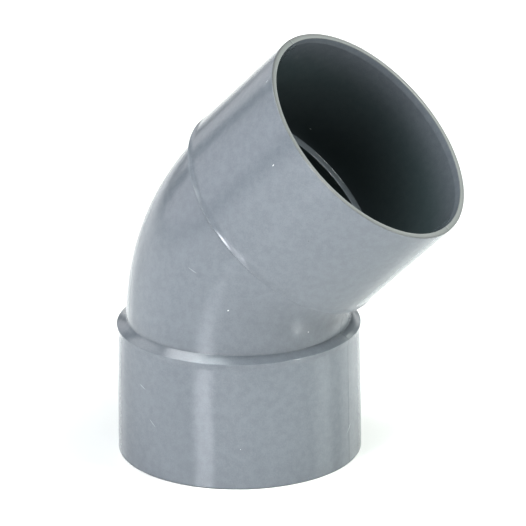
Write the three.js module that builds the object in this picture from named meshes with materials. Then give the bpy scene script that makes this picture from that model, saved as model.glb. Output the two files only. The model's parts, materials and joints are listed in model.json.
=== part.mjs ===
// 45 degree PVC-U elbow with two plain solvent-weld sockets, for 110 mm irrigation pipe.
//
// Units are millimetres and +Z is up. The elbow stands on the rim of its lower socket. XZ is its
// plane of symmetry, and the upper socket leans towards +X. The origin is on the ground, in the
// middle of the footprint of the whole fitting's bounding box.
//
// Three regions make up the fitting: a swept bend, and a socket sleeve round each of its ends. The
// ends of the bend stand inside the sleeves' necks, and their annular faces are the pipe stops.

import * as THREE from 'three';

// Driving dimensions
const PIPE_RADIUS = 55;
const ELBOW_ANGLE = THREE.MathUtils.degToRad(45);

const SOCKET_RADIUS = 58.5;
const SOCKET_LENGTH = 63.3;
const STOP_DEPTH = 61.5;
const BORE_CLEARANCE = 0.25;
const BORE_TAPER = 0.2;
const LEAD_IN_DEPTH = 3.2;
const LEAD_IN_WIDTH = 0.55;
const RIM_CHAMFER = 0.6;
const WALL_DRAFT = 0.6;
const LIP_LENGTH = 2;
const LIP_RISE = 0.6;
const SHOULDER_HEIGHT = 3.1;
const SHOULDER_WIDTH = 3.9;

const BEND_OUTER_RADIUS = 53.9;
const BEND_BORE_RADIUS = 50.8;
const BEND_LINE_RADIUS = 79.2;
const BEND_TAIL = 3.9;

const SEAT_GAP = 0.3;

// Smoothness of the round surfaces
const RING_FACETS = 72;
const BEND_STEPS = 16;

// Grey PVC-U with a satin skin
const PVC_GREY = 0x9ba2aa;
const PVC_ROUGHNESS = 0.35;

// Directions and places that follow from the dimensions
const UPPER_AXIS = new THREE.Vector3(Math.sin(ELBOW_ANGLE), 0, Math.cos(ELBOW_ANGLE));
const ARC_CENTRE = new THREE.Vector3(BEND_LINE_RADIUS, 0, STOP_DEPTH + BEND_TAIL);
const ARC_END = new THREE.Vector3(
  ARC_CENTRE.x - BEND_LINE_RADIUS * Math.cos(ELBOW_ANGLE),
  0,
  ARC_CENTRE.z + BEND_LINE_RADIUS * Math.sin(ELBOW_ANGLE),
);
const UPPER_STOP = ARC_END.clone().addScaledVector(UPPER_AXIS, BEND_TAIL);
const UPPER_MOUTH = UPPER_STOP.clone().addScaledVector(UPPER_AXIS, STOP_DEPTH);

// The chamfer takes the corner off both rims, so it also trims the furthest reach in X
const REACH_LOW = -SOCKET_RADIUS;
const REACH_HIGH = UPPER_MOUTH.x + (SOCKET_RADIUS - RIM_CHAMFER) * Math.cos(ELBOW_ANGLE);
const FOOTPRINT_MIDDLE = (REACH_LOW + REACH_HIGH) / 2;

// The centre line of the bend: a short straight tail, the arc, and a second tail
class BendLine extends THREE.Curve {
  constructor() {
    super();
    this.arcLength = BEND_LINE_RADIUS * ELBOW_ANGLE;
    this.wholeLength = this.arcLength + 2 * BEND_TAIL;
  }

  getPoint(t, target = new THREE.Vector3()) {
    const along = t * this.wholeLength - BEND_TAIL;
    if (along < 0) {
      return target.set(0, 0, ARC_CENTRE.z + along);
    }
    if (along > this.arcLength) {
      return target.copy(ARC_END).addScaledVector(UPPER_AXIS, along - this.arcLength);
    }
    const turned = along / BEND_LINE_RADIUS;
    const x = ARC_CENTRE.x - BEND_LINE_RADIUS * Math.cos(turned);
    const z = ARC_CENTRE.z + BEND_LINE_RADIUS * Math.sin(turned);
    return target.set(x, 0, z);
  }
}

// A regular polygon with RING_FACETS corners, as the points of a path
function ringPath(radius) {
  const points = [];
  for (let i = 0; i < RING_FACETS; i += 1) {
    const angle = (i / RING_FACETS) * 2 * Math.PI;
    points.push(new THREE.Vector2(radius * Math.cos(angle), radius * Math.sin(angle)));
  }
  return points;
}

// The bend: an annular section swept along the centre line from one pipe stop to the other
function bendGeometry() {
  const section = new THREE.Shape(ringPath(BEND_OUTER_RADIUS));
  section.holes.push(new THREE.Path(ringPath(BEND_BORE_RADIUS)));
  return new THREE.ExtrudeGeometry(section, {
    steps: BEND_STEPS,
    extrudePath: new BendLine(),
    bevelEnabled: false,
  });
}

// A socket sleeve, turned about +Z with its rim at z = 0 and its neck at the top.
// The profile runs up the outside, over the shoulder and back down the bore.
function socketGeometry() {
  const boreTop = PIPE_RADIUS + BORE_CLEARANCE;
  const boreBottom = boreTop - BORE_TAPER;
  const mouth = boreTop + LEAD_IN_WIDTH;
  const neckBore = BEND_OUTER_RADIUS + SEAT_GAP;
  const wallTop = SOCKET_RADIUS - WALL_DRAFT;
  const lip = wallTop + LIP_RISE;
  const neckTop = SOCKET_LENGTH + SHOULDER_HEIGHT;
  const profile = [
    [mouth, 0],
    [SOCKET_RADIUS - RIM_CHAMFER, 0],
    [SOCKET_RADIUS, RIM_CHAMFER],
    [wallTop, SOCKET_LENGTH - LIP_LENGTH],
    [lip, SOCKET_LENGTH],
    [lip - SHOULDER_WIDTH, neckTop],
    [neckBore, neckTop],
    [neckBore, STOP_DEPTH],
    [boreBottom, STOP_DEPTH],
    [boreTop, LEAD_IN_DEPTH],
    [mouth, 0],
  ];
  const points = profile.map(([radius, height]) => new THREE.Vector2(radius, height));
  const geometry = new THREE.LatheGeometry(points, RING_FACETS);
  geometry.rotateX(Math.PI / 2);
  return geometry;
}

function pvcMesh(name, geometry) {
  const material = new THREE.MeshStandardMaterial({
    color: PVC_GREY,
    roughness: PVC_ROUGHNESS,
    metalness: 0,
  });
  const mesh = new THREE.Mesh(geometry, material);
  mesh.name = name;
  return mesh;
}

// The bend's curve is already in the elbow's own frame, so it needs no placing
function makeBend() {
  return pvcMesh('bend', bendGeometry());
}

function makeLowerSocket() {
  return pvcMesh('lower_socket', socketGeometry());
}

// The same sleeve as the lower one, turned over so that its rim looks out along the upper axis
function makeUpperSocket() {
  const socket = pvcMesh('upper_socket', socketGeometry());
  socket.position.copy(UPPER_MOUTH);
  socket.rotation.y = ELBOW_ANGLE + Math.PI;
  return socket;
}

const elbow = new THREE.Group();
elbow.position.x = -FOOTPRINT_MIDDLE;
elbow.add(makeBend(), makeLowerSocket(), makeUpperSocket());

const part = new THREE.Group();
part.add(elbow);

export default part;
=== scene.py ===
"""A grey PVC-U 45 degree elbow with two plain solvent-weld sockets, standing on its lower mouth.

The elbow is one moulding. It is drawn as three closed pieces that meet edge to edge: a bend, and a
socket at each of its ends. Each piece is an outline swept round the elbow's centre line. A point of
an outline is (s, r): s metres along the centre line from the lower rim, and r metres out from it.
"""

import json
import math
import random

import bpy
import numpy as np
from mathutils import Matrix, Vector


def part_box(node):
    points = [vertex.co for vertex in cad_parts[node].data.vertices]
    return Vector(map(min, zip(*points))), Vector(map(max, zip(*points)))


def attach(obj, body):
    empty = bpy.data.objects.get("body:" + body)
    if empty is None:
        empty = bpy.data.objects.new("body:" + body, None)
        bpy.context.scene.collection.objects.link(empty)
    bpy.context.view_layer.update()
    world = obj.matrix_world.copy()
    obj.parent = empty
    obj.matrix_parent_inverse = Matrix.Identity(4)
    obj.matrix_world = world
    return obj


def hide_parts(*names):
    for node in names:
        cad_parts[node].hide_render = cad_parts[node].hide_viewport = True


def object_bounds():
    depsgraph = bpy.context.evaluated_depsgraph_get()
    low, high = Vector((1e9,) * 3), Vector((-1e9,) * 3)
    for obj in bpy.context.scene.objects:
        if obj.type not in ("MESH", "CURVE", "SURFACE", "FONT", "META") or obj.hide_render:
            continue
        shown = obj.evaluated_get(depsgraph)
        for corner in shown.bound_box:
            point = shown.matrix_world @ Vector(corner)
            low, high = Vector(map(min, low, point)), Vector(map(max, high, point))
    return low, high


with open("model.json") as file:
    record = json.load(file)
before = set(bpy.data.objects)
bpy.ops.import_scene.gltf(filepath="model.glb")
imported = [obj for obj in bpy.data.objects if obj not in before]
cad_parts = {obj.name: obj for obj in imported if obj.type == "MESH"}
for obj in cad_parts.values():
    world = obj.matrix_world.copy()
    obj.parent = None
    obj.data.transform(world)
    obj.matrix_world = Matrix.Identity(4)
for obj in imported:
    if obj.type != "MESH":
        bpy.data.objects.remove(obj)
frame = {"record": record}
cad_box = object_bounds()

# ---------------------------------------------------------------- sizes from the frame

socket_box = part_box("lower_socket")
bend_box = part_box("bend")
places = {mount["name"]: Vector(mount["pos_m"]) for mount in frame["record"]["mounts"]}
directions = {mount["name"]: Vector(mount["axis"]) for mount in frame["record"]["mounts"]}

AXIS_X = (socket_box[0].x + socket_box[1].x) / 2
SOCKET_RADIUS = (socket_box[1].x - socket_box[0].x) / 2
NECK_TOP = socket_box[1].z
BEND_RADIUS = bend_box[1].y
STOP_DEPTH = places["lower_pipe_stop"].z
UPPER_AXIS = directions["upper_mouth"]
ELBOW_ANGLE = math.atan2(UPPER_AXIS.x, UPPER_AXIS.z)

# ---------------------------------------------------------------- the moulding's own sizes, in metres

BEND_BORE_RADIUS = 0.0508
BEND_LINE_RADIUS = 0.0792

BORE_RADIUS_AT_MOUTH = 0.05525
BORE_RADIUS_AT_STOP = 0.05505
LEAD_IN_RADIUS = 0.0558
LEAD_IN_DEPTH = 0.0032
RIM_INNER_FILLET = 0.0004
RIM_OUTER_FILLET = 0.0006
LEAD_IN_FILLET = 0.00035

WALL_DRAFT = 0.0006
LIP_RISE = 0.0006
WALL_TOP_RADIUS = SOCKET_RADIUS - WALL_DRAFT
LIP_RADIUS = WALL_TOP_RADIUS + LIP_RISE
LIP_START = 0.0609
LIP_END = 0.0633
LIP_FILLET = 0.00035
LIP_BLEND = 0.010
FOOT_FILLET = 0.0005

STOP_CORNER_FILLET = 0.0004
STOP_EDGE_FILLET = 0.0003

# The faint line that the two halves of the mould leave in the plane of symmetry, and the flash that
# stands up from the upper rim there
PARTING_HEIGHT = 0.00006
PARTING_WIDTH = 0.0003
FLASH_HEIGHT = 0.00018

# Slow waves of the skin, from shrinkage in the mould. A wave is (share of the height, how often it
# goes round, radians for each metre along the centre line, phase).
WAVE_HEIGHT = 0.00003
WAVES = (
    (1, 2, 55, 0.7),
    (0.8, 3, -83, 2.1),
    (0.5, 5, 130, 4.0),
    (0.35, 8, -170, 1.3),
)

# Mesh density. Each parting line has columns of its own, placed in widths of the line.
ROUND_STEP = math.radians(11)
ROW_SPACING = 0.0021
SUPPORT = 0.00012
TURN_STEPS = 200
PARTING_STEPS = (-2.4, -1.2, -0.6, 0.6, 1.2, 2.4)

# ---------------------------------------------------------------- the centre line

# The stops lie at both ends of the bend, so the tangent length follows from their heights
upper_stop_rise = places["upper_pipe_stop"].z - STOP_DEPTH
tangent_length = upper_stop_rise / (1 + math.cos(ELBOW_ANGLE))
bend_tail = tangent_length - BEND_LINE_RADIUS * math.tan(ELBOW_ANGLE / 2)
ARC_START = STOP_DEPTH + bend_tail
ARC_CENTRE = Vector((AXIS_X + BEND_LINE_RADIUS, 0, ARC_START))
LINE_LENGTH = 2 * ARC_START + BEND_LINE_RADIUS * ELBOW_ANGLE


def centre_line(s):
    """Points of the centre line, and the directions across it towards the outside of the bend."""
    along = s - ARC_START
    turned = np.clip(along / BEND_LINE_RADIUS, 0, ELBOW_ANGLE)
    straight = along - turned * BEND_LINE_RADIUS
    nothing = np.zeros_like(s)
    forward = np.stack([np.sin(turned), nothing, np.cos(turned)], axis=-1)
    outward = np.stack([-np.cos(turned), nothing, np.sin(turned)], axis=-1)
    points = np.array(ARC_CENTRE) + BEND_LINE_RADIUS * outward + straight[:, None] * forward
    return points, outward


# ---------------------------------------------------------------- outlines


def fillet(before, corner, after, radius):
    """The arc that rounds a corner, as a list of points."""
    to_before = (before - corner).normalized()
    to_after = (after - corner).normalized()
    half = to_before.angle(to_after) / 2
    centre = corner + (to_before + to_after).normalized() * (radius / math.sin(half))
    first = corner + to_before * (radius / math.tan(half)) - centre
    last = corner + to_after * (radius / math.tan(half)) - centre
    turn = math.pi - 2 * half
    steps = max(2, math.ceil(turn / ROUND_STEP))
    points = []
    for step in range(steps + 1):
        share = step / steps
        arm = first * math.sin((1 - share) * turn) + last * math.sin(share * turn)
        points.append(centre + arm / math.sin(turn))
    return points


def outline(corners):
    """Rounds and divides a closed outline. A corner is (s, r, fillet radius), sharp where that is 0.

    Returns the points as an array, and which of them are sharp."""
    spots = [Vector((s, r)) for s, r, _ in corners]
    rounded = []
    for i, (_, _, radius) in enumerate(corners):
        if radius:
            after = spots[(i + 1) % len(spots)]
            rounded += [(point, False) for point in fillet(spots[i - 1], spots[i], after, radius)]
        else:
            rounded.append((spots[i], True))
    points = []
    sharp = []
    for i, (start, is_sharp) in enumerate(rounded):
        end = rounded[(i + 1) % len(rounded)][0]
        points.append(start)
        sharp.append(is_sharp)
        for share in divisions((end - start).length):
            points.append(start.lerp(end, share))
            sharp.append(False)
    return np.array(points), np.array(sharp)


def divisions(length):
    """Where to cut a straight stretch: close to both of its ends, and evenly between them."""
    if length < 3 * SUPPORT:
        return []
    edge = SUPPORT / length
    steps = math.ceil(length / ROW_SPACING)
    return [edge + (1 - 2 * edge) * step / steps for step in range(steps + 1)]


# Both kinds of piece end on this hidden face inside the wall, which runs from just past the shoulder
# on the outside to just short of the stop in the bore
JOINT_OUTSIDE = (NECK_TOP + 0.0014, BEND_RADIUS)
JOINT_UNDER_FOOT = (NECK_TOP + 0.0004, BEND_RADIUS - 0.0008)
JOINT_BEHIND_STOP = (STOP_DEPTH + 0.0001, BORE_RADIUS_AT_STOP + 0.0009)
JOINT_INSIDE = (STOP_DEPTH - 0.001, BORE_RADIUS_AT_STOP)
JOINT = (JOINT_OUTSIDE, JOINT_UNDER_FOOT, JOINT_BEHIND_STOP, JOINT_INSIDE)


def joint_corners():
    return [(s, r, 0) for s, r in JOINT]


def socket_outline():
    """From the lower rim up the outside, over the shoulder, and back down the bore."""
    outside = [
        (0, SOCKET_RADIUS, RIM_OUTER_FILLET),
        (LIP_START, WALL_TOP_RADIUS, LIP_BLEND),
        (LIP_END, LIP_RADIUS, LIP_FILLET),
        (NECK_TOP, BEND_RADIUS, FOOT_FILLET),
    ]
    inside = [
        (LEAD_IN_DEPTH, BORE_RADIUS_AT_MOUTH, LEAD_IN_FILLET),
        (0, LEAD_IN_RADIUS, RIM_INNER_FILLET),
    ]
    return outline(outside + joint_corners() + inside)


def bend_outline():
    """Along the outside of the bend, then back through its bore. Its ends are the pipe stops."""
    lower_stop = [
        (STOP_DEPTH, BEND_BORE_RADIUS, STOP_EDGE_FILLET),
        (STOP_DEPTH, BORE_RADIUS_AT_STOP, STOP_CORNER_FILLET),
    ]
    lower_end = lower_stop + joint_corners()[::-1]
    upper_end = [(LINE_LENGTH - s, r, radius) for s, r, radius in lower_end[::-1]]
    return outline(lower_end + upper_end)


# ---------------------------------------------------------------- sweeping an outline round


def turn_angles():
    """Even angles round the centre line, and a few more on both sides of each parting line."""
    even = [2 * math.pi * step / TURN_STEPS for step in range(TURN_STEPS)]
    near = [step * PARTING_WIDTH / SOCKET_RADIUS for step in PARTING_STEPS]
    extra = [(middle + offset) % (2 * math.pi) for middle in (0, math.pi) for offset in near]
    return np.array(sorted(even + extra))


def waves(s, turn):
    """The height of the skin's slow waves, the same function for every piece."""
    total = 0
    for share, round_turn, along_line, phase in WAVES:
        total = total + share * np.sin(round_turn * turn + along_line * s + phase)
    return WAVE_HEIGHT * total


def from_rim(s):
    """The distance along the centre line to the nearer rim."""
    return np.minimum(s, LINE_LENGTH - s)


def is_outside(s, r):
    """Which points are on the outside of the moulding, and not in its bores or on its stops.

    The border between the two runs along the middle of each rim."""
    socket_middle = (SOCKET_RADIUS + LEAD_IN_RADIUS) / 2
    bend_middle = (BEND_RADIUS + BEND_BORE_RADIUS) / 2
    return r > np.where(from_rim(s) < STOP_DEPTH + SUPPORT, socket_middle, bend_middle)


def skin_points(s, r, turn, outside):
    """Where points of the moulding stand, with the skin's waves, the parting line and the flash."""
    parting = np.exp(-((SOCKET_RADIUS * np.sin(turn) / PARTING_WIDTH) ** 2))
    r_shown = r + waves(s, turn) + PARTING_HEIGHT * parting * outside
    at_rim = np.clip(1 - from_rim(s) / RIM_OUTER_FILLET, 0, 1)
    s_shown = s + FLASH_HEIGHT * parting * at_rim * (s > LINE_LENGTH / 2)
    centre, outward = centre_line(s_shown)
    across = np.array((0, 1, 0))
    arm = np.cos(turn)[:, None] * outward + np.sin(turn)[:, None] * across
    return centre + r_shown[:, None] * arm


def ring_faces(rows, columns):
    """The faces between each ring and the next, and between the last ring and the first."""
    row, column = np.meshgrid(np.arange(rows), np.arange(columns), indexing="ij")
    next_row = (row + 1) % rows
    next_column = (column + 1) % columns
    corners = [row * columns + column, next_row * columns + column]
    corners += [next_row * columns + next_column, row * columns + next_column]
    return np.stack(corners, axis=-1).reshape(-1, 4)


def sweep(name, points, sharp):
    """A closed mesh: the outline's points swept round the centre line, one ring for each point."""
    angles = turn_angles()
    columns = len(angles)
    s = np.repeat(points[:, 0], columns)
    r = np.repeat(points[:, 1], columns)
    turn = np.tile(angles, len(points))
    outside = is_outside(s, r)
    vertices = skin_points(s, r, turn, outside)
    faces = ring_faces(len(points), columns)

    mesh = bpy.data.meshes.new(name)
    mesh.from_pydata(vertices.tolist(), [], faces.tolist())
    mesh.polygons.foreach_set("use_smooth", np.ones(len(faces), bool))
    mark_sharp_rings(mesh, sharp, columns)
    add_attribute(mesh, "outside", outside)
    add_attribute(mesh, "from_rim", from_rim(s))
    mesh.update()
    piece = bpy.data.objects.new(name, mesh)
    bpy.context.scene.collection.objects.link(piece)
    return piece


def mark_sharp_rings(mesh, sharp, columns):
    """Both ends of a ring's edge are in one row, so the row numbers say which edges are sharp."""
    ends = np.zeros(len(mesh.edges) * 2, int)
    mesh.edges.foreach_get("vertices", ends)
    rows = ends.reshape(-1, 2) // columns
    is_sharp = (rows[:, 0] == rows[:, 1]) & sharp[rows[:, 0]]
    attribute = mesh.attributes.new("sharp_edge", "BOOLEAN", "EDGE")
    attribute.data.foreach_set("value", is_sharp)


def add_attribute(mesh, name, values):
    attribute = mesh.attributes.new(name, "FLOAT", "POINT")
    attribute.data.foreach_set("value", values.astype(np.float32))


# ---------------------------------------------------------------- grey PVC

PVC_DARK = (0.150, 0.165, 0.183, 1)
PVC_PALE = (0.170, 0.186, 0.205, 1)
DUST_COLOUR = (0.62, 0.62, 0.60, 1)
# Real dirt in the specks, dark marks and parting line, and painted shade in the crease at the foot of
# each shoulder
DIRT_AND_SHADE_COLOUR = (0.045, 0.050, 0.050, 1)
SCUFF_COLOUR = (0.260, 0.275, 0.285, 1)
# Painted shade: the bores grow darker deeper in from the mouth
PAINTED_BORE_SHADE_COLOUR = (0.046, 0.086, 0.080, 1)
RIM_COLOUR = (0.152, 0.157, 0.154, 1)
RIM_EDGE_COLOUR = (0.105, 0.108, 0.106, 1)
PVC_IOR = 1.53

# The roughness of the polished skin from dark to pale mottling, and of a scuff, dust or dirt. The
# rims come part of the way to the second.
SKIN_ROUGHNESS = (0.16, 0.22)
SCUFF_ROUGHNESS = 0.5
RIM_DULLNESS = 0.5

# The plastic's own variation. A noise is (the size of its lumps in metres, its detail).
CLOUDS = (0.045, 3)
MOTTLE = (0.0035, 4)
GRAIN = (0.0006, 2)
ORANGE_PEEL = (0.0012, 1)
CLOUD_WEIGHT = 0.1
MOTTLE_WEIGHT = 0.45
GRAIN_WEIGHT = 0.45
TONE_RANGE = (0.36, 0.64)

# A band is (where its full share ends, where it has faded out, its full share), in metres
RIM_BAND = (0.0001, 0.0006, 0.8)
# Painted shade along the crease at the foot of each shoulder
CREASE_SHADE_BAND = (0.0002, 0.0011, 0.10)
PARTING_BAND = (0.00015, 0.0005, 0.22)

# The bore's painted shade comes in over these distances from the rim, and over these from a stop, in
# metres
BORE_SHADE_FADE = (0.001, 0.026)
STOP_FADE = (0.0001, 0.0005)
BORE_SHADE_SHARE = 0.5

# Specks are (spacing, size, share of the places that have one), in metres. They fade out between
# these distances from their middles, in sizes.
DUST_SPECKS = (0.009, 0.0004, 0.07)
DIRT_SPECKS = (0.0085, 0.00045, 0.08)
SPECK_FADE = (0.4, 0.6)

# How much of the plastic each colour covers at the middle of its mark
DUST_SHARE = 0.75
DIRT_SHARE = 0.7
SCUFF_SHARE = 0.5

# Hairline strokes along Z, and the patches of worn skin that they keep to
STROKES = (0.012, 1)
STROKE_STRETCH = (1, 1, 0.06)
STROKE_RANGE = (0.70, 0.78)
WORN_PATCHES = (0.03, 2)
WORN_RANGE = (0.5, 0.62)

BUMP_STRENGTH = 0.35
BUMP_DISTANCE = 0.00004
PEEL_RELIEF = 0.35
MOTTLE_RELIEF = 0.65
DUST_RELIEF = 1.5

# Small marks of use, strewn over the skin and the bores: how many of a kind, the shortest and the
# longest of them, and their width, in metres
MARKS = {
    "pale": (9, 0.0006, 0.0019, 0.0007),
    "dark": (10, 0.0006, 0.0016, 0.0006),
    "scuff": (7, 0.0050, 0.0090, 0.0005),
}
MARKS_IN_BORE = 0.2
MARK_DEPTH = 0.0004
MARK_FADE = 0.6

# The wall leans in by its draft, and this lies between the radii of its foot and its top
SOCKET_SKIN_RADIUS = SOCKET_RADIUS - 0.0004


class NodeBench:
    """Short calls for laying nodes in a material's tree and linking them."""

    def __init__(self, material):
        self.tree = material.node_tree
        self.coordinates = self.node("ShaderNodeTexCoord").outputs["Object"]

    def node(self, kind, **settings):
        node = self.tree.nodes.new(kind)
        for setting, value in settings.items():
            setattr(node, setting, value)
        return node

    def feed(self, socket, value):
        """Links a socket to an output, or sets it to a number."""
        if isinstance(value, bpy.types.NodeSocket):
            self.tree.links.new(value, socket)
        else:
            socket.default_value = value

    def attribute(self, name):
        return self.node("ShaderNodeAttribute", attribute_name=name).outputs["Fac"]

    def math(self, operation, *values):
        node = self.node("ShaderNodeMath", operation=operation)
        for place, value in enumerate(values):
            self.feed(node.inputs[place], value)
        return node.outputs[0]

    def mapped(self, value, lowest, highest, to_lowest, to_highest):
        """Carries a value from one range to another, smoothly and without leaving the second range."""
        node = self.node("ShaderNodeMapRange", interpolation_type="SMOOTHSTEP")
        for place, number in enumerate((value, lowest, highest, to_lowest, to_highest)):
            self.feed(node.inputs[place], number)
        return node.outputs[0]

    def mix(self, share, first, second):
        """Mixes two colours. The Mix node has its share at input 0 and its colours at 6 and 7."""
        node = self.node("ShaderNodeMix", data_type="RGBA")
        for place, value in ((0, share), (6, first), (7, second)):
            self.feed(node.inputs[place], value)
        return node.outputs[2]

    def distance(self, value, place):
        """How far a value is from a place, on either side."""
        return self.math("ABSOLUTE", self.math("SUBTRACT", value, place))

    def band(self, distance, limits):
        """The full share within a band, fading out beyond it."""
        full_until, gone_by, share = limits
        return self.mapped(distance, full_until, gone_by, share, 0)

    def noise(self, cell, detail, stretch=(1, 1, 1)):
        """Noise whose lumps are about a cell across, in metres."""
        placed = self.node("ShaderNodeMapping")
        self.feed(placed.inputs["Vector"], self.coordinates)
        placed.inputs["Scale"].default_value = stretch
        node = self.node("ShaderNodeTexNoise")
        self.feed(node.inputs["Vector"], placed.outputs[0])
        node.inputs["Scale"].default_value = 1 / cell
        node.inputs["Detail"].default_value = detail
        return node.outputs["Fac"]

    def specks(self, cell, size, share):
        """Round specks of a size, in metres, in a share of the cells."""
        node = self.node("ShaderNodeTexVoronoi")
        self.feed(node.inputs["Vector"], self.coordinates)
        node.inputs["Scale"].default_value = 1 / cell
        full_until, gone_by = (reach * size / cell for reach in SPECK_FADE)
        spot = self.mapped(node.outputs["Distance"], full_until, gone_by, 1, 0)
        chance = self.node("ShaderNodeSeparateColor")
        self.feed(chance.inputs[0], node.outputs["Color"])
        chosen = self.math("LESS_THAN", chance.outputs[0], share)
        return self.math("MULTIPLY", spot, chosen)

    def spot(self, centre, axes, sizes):
        """1 inside an ellipsoid and 0 outside it, with a soft edge."""
        placed = self.node("ShaderNodeMapping", vector_type="TEXTURE")
        self.feed(placed.inputs["Vector"], self.coordinates)
        placed.inputs["Location"].default_value = centre
        placed.inputs["Rotation"].default_value = axes.to_euler()
        placed.inputs["Scale"].default_value = sizes
        length = self.node("ShaderNodeVectorMath", operation="LENGTH")
        self.feed(length.inputs[0], placed.outputs[0])
        return self.mapped(length.outputs["Value"], MARK_FADE, 1, 1, 0)


def surface_frame(s, turn, in_bore):
    """A point of the skin, and axes there: along the centre line, round it, and out of it."""
    centres, outwards = centre_line(np.array([s]))
    outward = Vector(outwards[0])
    across = Vector((0, 1, 0))
    out = math.cos(turn) * outward + math.sin(turn) * across
    around = math.cos(turn) * across - math.sin(turn) * outward
    along = around.cross(out)
    if STOP_DEPTH < from_rim(s):
        radius = BEND_BORE_RADIUS if in_bore else BEND_RADIUS
    else:
        radius = BORE_RADIUS_AT_STOP if in_bore else SOCKET_SKIN_RADIUS
    axes = Matrix((along, around, out)).transposed()
    return Vector(centres[0]) + radius * out, axes


def marks_of(bench, kind):
    """How much of a kind of mark there is at each place, from 0 to 1."""
    count, shortest, longest, width = MARKS[kind]
    draw = random.Random(kind)
    total = 0
    for _ in range(count):
        s = draw.uniform(0, LINE_LENGTH)
        turn = draw.uniform(0, 2 * math.pi)
        in_bore = draw.random() < MARKS_IN_BORE
        length = draw.uniform(shortest, longest)
        slant = draw.uniform(0, math.pi)
        centre, axes = surface_frame(s, turn, in_bore)
        turned = axes @ Matrix.Rotation(slant, 3, "Z")
        sizes = (length / 2, width / 2, width / 2 + MARK_DEPTH)
        total = bench.math("MAXIMUM", bench.spot(centre, turned, sizes), total)
    return total


def pvc_tone(bench, mottle):
    """The grey of the plastic: cloudy over centimetres, mottled over millimetres, and grainy."""
    clouds = bench.math("MULTIPLY", bench.noise(*CLOUDS), CLOUD_WEIGHT)
    grain = bench.math("MULTIPLY", bench.noise(*GRAIN), GRAIN_WEIGHT)
    tone = bench.math("ADD", clouds, bench.math("MULTIPLY", mottle, MOTTLE_WEIGHT))
    return bench.math("ADD", tone, grain)


def painted_bore_shade(bench, outside, rim_distance):
    """How much of the bore's painted shade shows: none near the mouth or on the pale faces of the
    stops.
    """
    in_bore = bench.math("SUBTRACT", 1.0, outside)
    off_stop = bench.mapped(bench.distance(rim_distance, STOP_DEPTH), *STOP_FADE, 0, 1)
    deep_shade = bench.mapped(rim_distance, *BORE_SHADE_FADE, 0, BORE_SHADE_SHARE)
    return bench.math("MULTIPLY", bench.math("MULTIPLY", deep_shade, in_bore), off_stop)


def parting_share(bench, outside):
    """The parting line in the plane of symmetry."""
    place = bench.node("ShaderNodeSeparateXYZ")
    bench.feed(place.inputs[0], bench.coordinates)
    line = bench.band(bench.math("ABSOLUTE", place.outputs["Y"]), PARTING_BAND)
    return bench.math("MULTIPLY", line, outside)


def scuff_share(bench):
    """Hairline strokes where the skin is worn, and the scuffs among the marks of use."""
    strokes = bench.noise(*STROKES, STROKE_STRETCH)
    worn = bench.mapped(bench.noise(*WORN_PATCHES), *WORN_RANGE, 0, 1)
    hairlines = bench.math("MULTIPLY", bench.mapped(strokes, *STROKE_RANGE, 0, SCUFF_SHARE), worn)
    marks = bench.math("MULTIPLY", marks_of(bench, "scuff"), SCUFF_SHARE)
    return bench.math("MAXIMUM", hairlines, marks)


def pvc_relief(bench, mottle, dust):
    """Orange peel and mottling, with the specks of dust standing on the skin."""
    peel = bench.math("MULTIPLY", bench.noise(*ORANGE_PEEL), PEEL_RELIEF)
    relief = bench.math("ADD", peel, bench.math("MULTIPLY", mottle, MOTTLE_RELIEF))
    relief = bench.math("ADD", relief, bench.math("MULTIPLY", dust, DUST_RELIEF))
    bump = bench.node("ShaderNodeBump")
    bump.inputs["Strength"].default_value = BUMP_STRENGTH
    bump.inputs["Distance"].default_value = BUMP_DISTANCE
    bench.feed(bump.inputs["Height"], relief)
    return bump.outputs[0]


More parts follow.
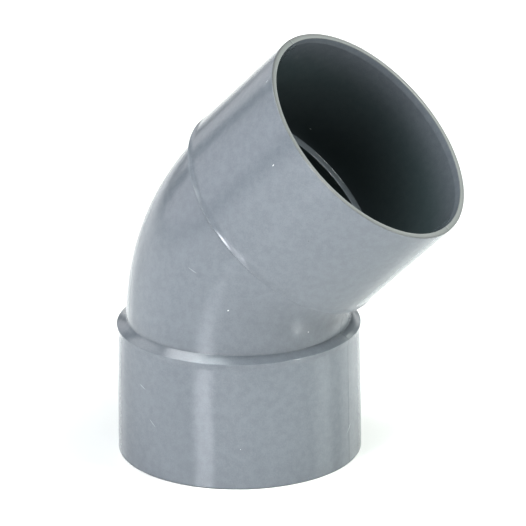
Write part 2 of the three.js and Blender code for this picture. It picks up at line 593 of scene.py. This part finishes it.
def make_pvc():
    material = bpy.data.materials.new("grey_pvc_moulding")
    material.use_nodes = True
    shader = material.node_tree.nodes["Principled BSDF"]
    shader.inputs["IOR"].default_value = PVC_IOR
    bench = NodeBench(material)

    outside = bench.attribute("outside")
    rim_distance = bench.attribute("from_rim")
    mottle = bench.noise(*MOTTLE)
    tone = pvc_tone(bench, mottle)
    at_rim = bench.band(rim_distance, RIM_BAND)
    # Painted shade along the crease at the foot of each shoulder
    crease_shade = bench.band(bench.distance(rim_distance, NECK_TOP), CREASE_SHADE_BAND)
    scuffs = scuff_share(bench)
    dust = bench.math("MAXIMUM", bench.specks(*DUST_SPECKS), marks_of(bench, "pale"))
    dirt = bench.math("MAXIMUM", bench.specks(*DIRT_SPECKS), marks_of(bench, "dark"))

    # The rims are more neutral than the skin, and grubbier over their outer half. Painted shade
    # darkens the crease at the foot of each shoulder.
    colour = bench.mix(bench.mapped(tone, *TONE_RANGE, 0, 1), PVC_DARK, PVC_PALE)
    # Painted shade in the bores, darker deeper in from the mouth
    colour = bench.mix(painted_bore_shade(bench, outside, rim_distance), colour, PAINTED_BORE_SHADE_COLOUR)
    colour = bench.mix(at_rim, colour, bench.mix(outside, RIM_COLOUR, RIM_EDGE_COLOUR))
    colour = bench.mix(bench.math("MULTIPLY", crease_shade, outside), colour, DIRT_AND_SHADE_COLOUR)
    colour = bench.mix(parting_share(bench, outside), colour, DIRT_AND_SHADE_COLOUR)
    colour = bench.mix(scuffs, colour, SCUFF_COLOUR)
    colour = bench.mix(bench.math("MULTIPLY", dust, DUST_SHARE), colour, DUST_COLOUR)
    colour = bench.mix(bench.math("MULTIPLY", dirt, DIRT_SHARE), colour, DIRT_AND_SHADE_COLOUR)
    bench.feed(shader.inputs["Base Color"], colour)

    # The skin is polished, and duller where its mottling is pale, where it is marked, and at the rims
    dulled = bench.math("MAXIMUM", bench.math("MAXIMUM", scuffs, dust), dirt)
    dulled = bench.math("MAXIMUM", dulled, bench.math("MULTIPLY", at_rim, RIM_DULLNESS))
    roughness = bench.mapped(tone, *TONE_RANGE, *SKIN_ROUGHNESS)
    roughness = bench.mapped(dulled, 0, 1, roughness, SCUFF_ROUGHNESS)
    bench.feed(shader.inputs["Roughness"], roughness)
    bench.feed(shader.inputs["Normal"], pvc_relief(bench, mottle, dust))
    return material


# ---------------------------------------------------------------- the pieces

pvc = make_pvc()


def finish_piece(piece, node):
    piece.data.materials.append(pvc)
    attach(piece, "root")
    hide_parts(node)


def make_socket(name, node):
    points, sharp = socket_outline()
    if node == "upper_socket":
        # Turned end for end, with the order reversed so that its faces still look outwards
        points = points * (-1, 1) + (LINE_LENGTH, 0)
        points = points[::-1]
        sharp = sharp[::-1]
    finish_piece(sweep(name, points, sharp), node)


def make_bend():
    points, sharp = bend_outline()
    finish_piece(sweep("moulded_bend", points, sharp), "bend")


make_bend()
make_socket("moulded_lower_socket", "lower_socket")
make_socket("moulded_upper_socket", "upper_socket")

# ---------------------------------------------------------------- floor, light and camera

FLOOR_SIZE = 9.0
FLOOR_COLOUR = (0.9, 0.9, 0.9, 1)
FLOOR_ROUGHNESS = 0.12
WHITE = (1, 1, 1, 1)

# The softboxes only light the floor near the elbow. Between these distances from the floor's middle,
# in metres, it takes on a glow of its own, as a lit studio sweep would.
GLOW_START = 0.3
GLOW_FULL = 1.2


def make_floor():
    mesh = bpy.data.meshes.new("floor")
    half = FLOOR_SIZE / 2
    corners = [(-half, -half, 0), (half, -half, 0), (half, half, 0), (-half, half, 0)]
    mesh.from_pydata(corners, [], [(0, 1, 2, 3)])
    floor = bpy.data.objects.new("floor", mesh)
    bpy.context.scene.collection.objects.link(floor)
    material = bpy.data.materials.new("pale_floor")
    material.use_nodes = True
    shader = material.node_tree.nodes["Principled BSDF"]
    shader.inputs["Base Color"].default_value = FLOOR_COLOUR
    shader.inputs["Roughness"].default_value = FLOOR_ROUGHNESS
    shader.inputs["Emission Color"].default_value = WHITE
    bench = NodeBench(material)
    distance = bench.node("ShaderNodeVectorMath", operation="LENGTH")
    bench.feed(distance.inputs[0], bench.coordinates)
    glow = bench.mapped(distance.outputs["Value"], GLOW_START, GLOW_FULL, 0, 1)
    bench.feed(shader.inputs["Emission Strength"], glow)
    mesh.materials.append(material)


def direction_of(azimuth, elevation):
    """The unit vector from the object towards a place: azimuth 0 is towards -Y, 90 towards +X."""
    across = math.cos(math.radians(elevation))
    turn = math.radians(azimuth)
    up = math.sin(math.radians(elevation))
    return Vector((math.sin(turn) * across, -math.cos(turn) * across, up))


MIDDLE = (cad_box[0] + cad_box[1]) / 2
SOFTBOX_DISTANCE = 1.5

# name: azimuth and elevation in degrees, width and height in metres, watts, colour
SOFTBOXES = {
    "right_softbox": (100, 42, 0.50, 0.40, 13.0, (1.00, 1.00, 0.96)),
    "right_near_softbox": (91, 45, 0.30, 0.40, 17.0, (0.95, 1.00, 0.96)),
    "right_low_softbox": (112, 15, 0.50, 0.40, 3.8, (0.95, 1.00, 0.96)),
    "front_right_panel": (14, 8, 1.00, 0.30, 5.5, (1.00, 0.98, 1.00)),
    "front_low_strip": (-8, 5, 0.42, 0.25, 5.0, (0.96, 0.96, 1.00)),
    "front_strip": (-8, 13.5, 0.42, 0.36, 9.5, (0.96, 0.96, 1.00)),
    "front_left_softbox": (-20, 42, 0.60, 0.50, 6.5, (0.90, 0.98, 1.00)),
    "left_softbox": (-45, 40, 0.90, 0.60, 6.3, (1.00, 1.00, 0.94)),
    "left_high_softbox": (-72, 62, 0.60, 0.50, 7.0, (0.98, 0.99, 1.00)),
    "left_low_panel": (-77, 9, 1.20, 0.40, 1.8, (1.00, 0.96, 1.00)),
    "left_rear_softbox": (-105, 38, 0.70, 0.50, 2.4, (1.00, 1.00, 1.00)),
    "rear_left_panel": (-128, 12, 0.90, 0.40, 1.3, (1.00, 0.98, 1.00)),
    "rear_low_strip": (184, 8, 0.50, 0.30, 0.8, (1.00, 1.00, 1.00)),
    "rear_right_panel": (155, 22, 0.80, 0.50, 3.5, (0.96, 1.00, 0.94)),
    "top_softbox": (-45, 79, 0.60, 0.55, 6.6, (0.94, 1.00, 1.00)),
    "overhead_softbox": (100, 72, 0.50, 0.40, 3.6, (0.96, 1.00, 1.00)),
}


def make_softbox(name, azimuth, elevation, width, height, watts, colour):
    light = bpy.data.lights.new(name, "AREA")
    light.shape = "RECTANGLE"
    light.size = width
    light.size_y = height
    light.energy = watts
    light.color = colour
    softbox = bpy.data.objects.new(name, light)
    towards = direction_of(azimuth, elevation)
    softbox.location = MIDDLE + SOFTBOX_DISTANCE * towards
    softbox.visible_camera = False
    softbox.rotation_euler = towards.to_track_quat("Z", "Y").to_euler()
    bpy.context.scene.collection.objects.link(softbox)


def make_world():
    """A white studio beyond the floor. It is only a backdrop, and lights nothing."""
    world = bpy.data.worlds.new("studio")
    world.use_nodes = True
    background = world.node_tree.nodes["Background"]
    background.inputs["Color"].default_value = WHITE
    background.inputs["Strength"].default_value = 1.0
    world.cycles_visibility.diffuse = False
    world.cycles_visibility.glossy = False
    bpy.context.scene.world = world


# Below 1, this darkens the picture's middle tones and leaves its black and white as they are
PICTURE_GAMMA = 0.77

# The camera stands well back with a long lens. Its aim is below and left of the middle of the
# elbow's box, which frames the elbow a little right and above the middle of the picture.
CAMERA_AZIMUTH = 26.489
CAMERA_ELEVATION = 20.235
CAMERA_ROLL = -0.507
CAMERA_DISTANCE = 2.9599
LENS_MM = 426.46
SENSOR_MM = 36
CLIP_END = 20
AIM_RIGHT = -0.01131
AIM_UP = -0.00686


def make_camera():
    back = direction_of(CAMERA_AZIMUTH, CAMERA_ELEVATION)
    level = Vector((0, 0, 1)).cross(back).normalized()
    roll = Matrix.Rotation(math.radians(CAMERA_ROLL), 3, back)
    right = roll @ level
    up = back.cross(right)
    data = bpy.data.cameras.new("camera")
    data.lens = LENS_MM
    data.sensor_width = SENSOR_MM
    data.clip_end = CLIP_END
    camera = bpy.data.objects.new("camera", data)
    place = MIDDLE + AIM_RIGHT * right + AIM_UP * up + CAMERA_DISTANCE * back
    turned = Matrix((right, up, back)).transposed()
    camera.matrix_world = Matrix.Translation(place) @ turned.to_4x4()
    bpy.context.scene.collection.objects.link(camera)
    bpy.context.scene.camera = camera


make_floor()
make_world()
for name, setting in SOFTBOXES.items():
    make_softbox(name, *setting)
make_camera()
bpy.context.scene.view_settings.view_transform = "Standard"
bpy.context.scene.view_settings.gamma = PICTURE_GAMMA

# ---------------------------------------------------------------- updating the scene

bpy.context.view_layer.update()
